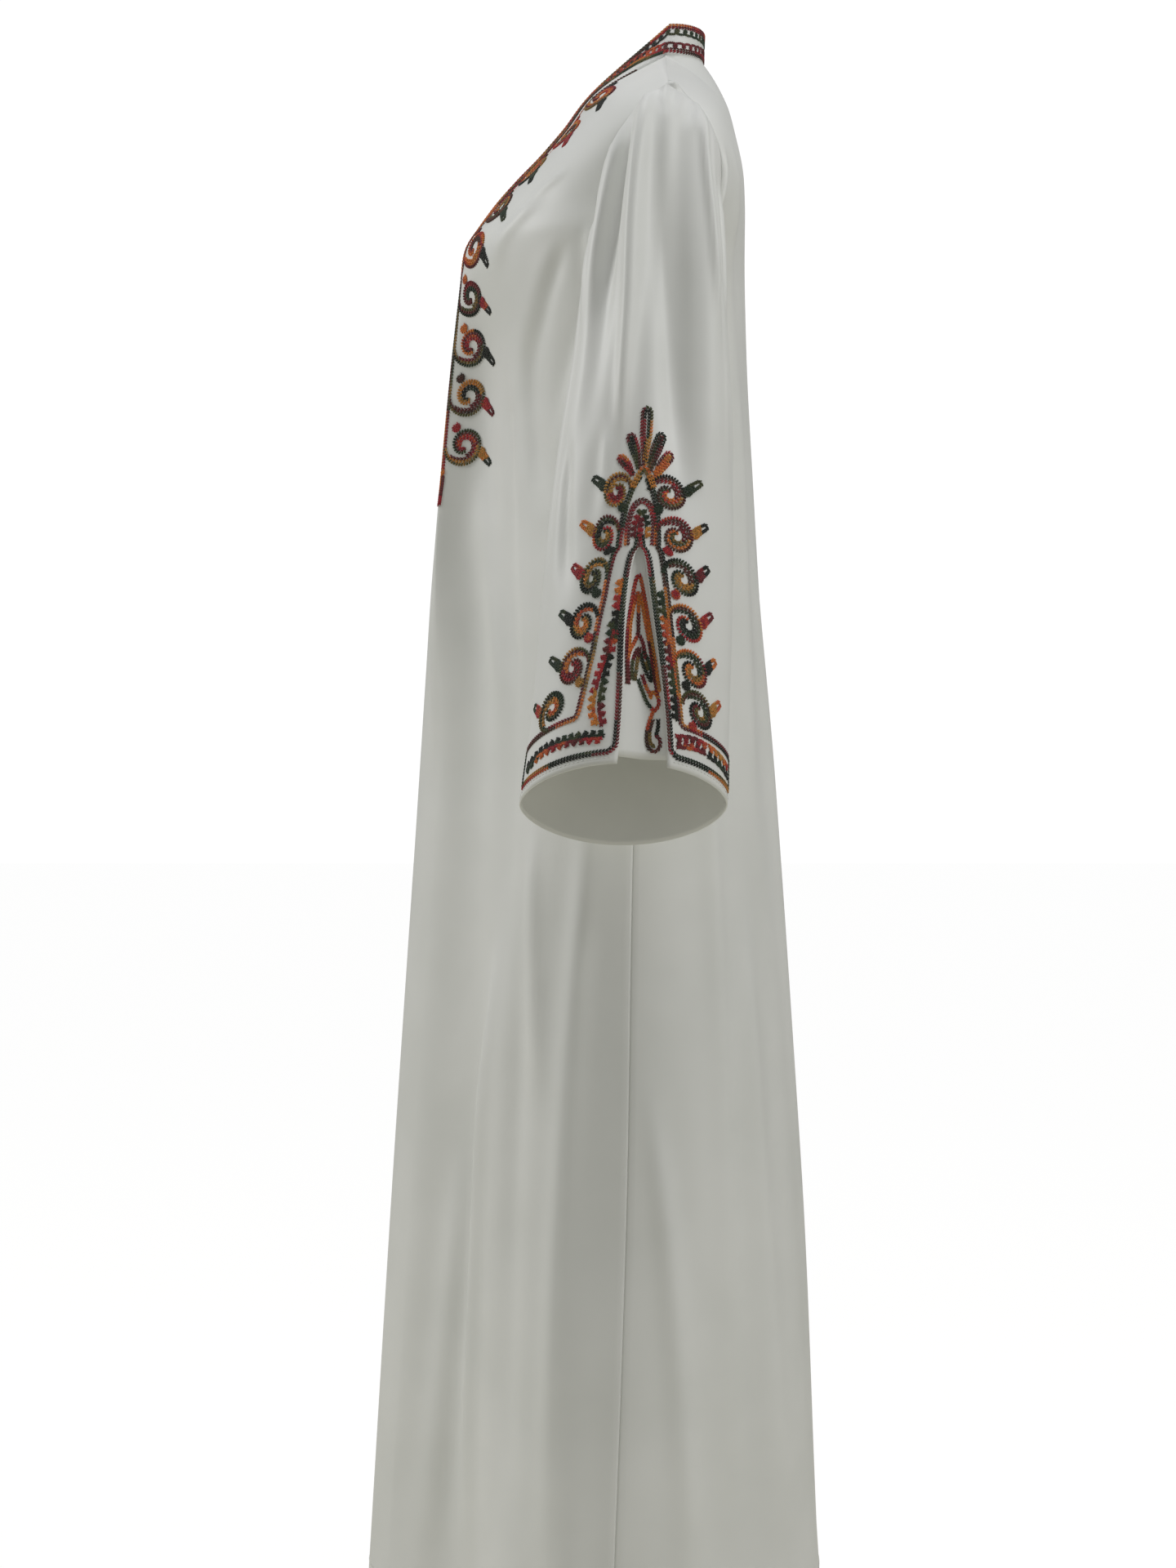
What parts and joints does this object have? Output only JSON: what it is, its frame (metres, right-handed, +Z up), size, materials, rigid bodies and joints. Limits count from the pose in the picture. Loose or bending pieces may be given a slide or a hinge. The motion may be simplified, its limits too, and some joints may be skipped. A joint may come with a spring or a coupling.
{
  "type": "abaya",
  "caption": "Long white A-line robe as worn, hollow, with a stand at the nape, V neck, bell sleeves with a slit at the outer cuff, and corded scroll embroidery.",
  "frame": {"origin": "middle of the neck's base, level with the shoulder line, where the wearer's shoulders carry the robe", "axes": "+Z up, -Y the way the wearer faces, +X towards the wearer's left hand"},
  "size_m": [0.7996, 0.453, 1.5492],
  "materials": {
    "white_cloth": "smooth white crepe with a soft sheen",
    "neck_cord": "matt chain-stitched cord, variegated bottle green, maroon and ochre",
    "front_cord": "matt chain-stitched cord, variegated maroon, ochre and dark green",
    "sleeve_cord": "matt chain-stitched cord, variegated ochre, maroon and dark green"
  },
  "bodies": {
    "root": {"front": "white_cloth", "back": "white_cloth", "neck_band": "white_cloth", "neck_braid": "neck_cord", "sleeve_left": "white_cloth", "sleeve_right": "white_cloth", "godet_left": "white_cloth", "godet_right": "white_cloth", "front_scrolls_left": "front_cord", "front_scrolls_right": "front_cord", "sleeve_scrolls_fore_left": "sleeve_cord", "sleeve_scrolls_fore_right": "sleeve_cord", "sleeve_scrolls_aft_left": "sleeve_cord", "sleeve_scrolls_aft_right": "sleeve_cord", "cuff_braid_fore_left": "neck_cord", "cuff_braid_fore_right": "neck_cord", "cuff_braid_aft_left": "neck_cord", "cuff_braid_aft_right": "neck_cord"}
  },
  "joints": []
}
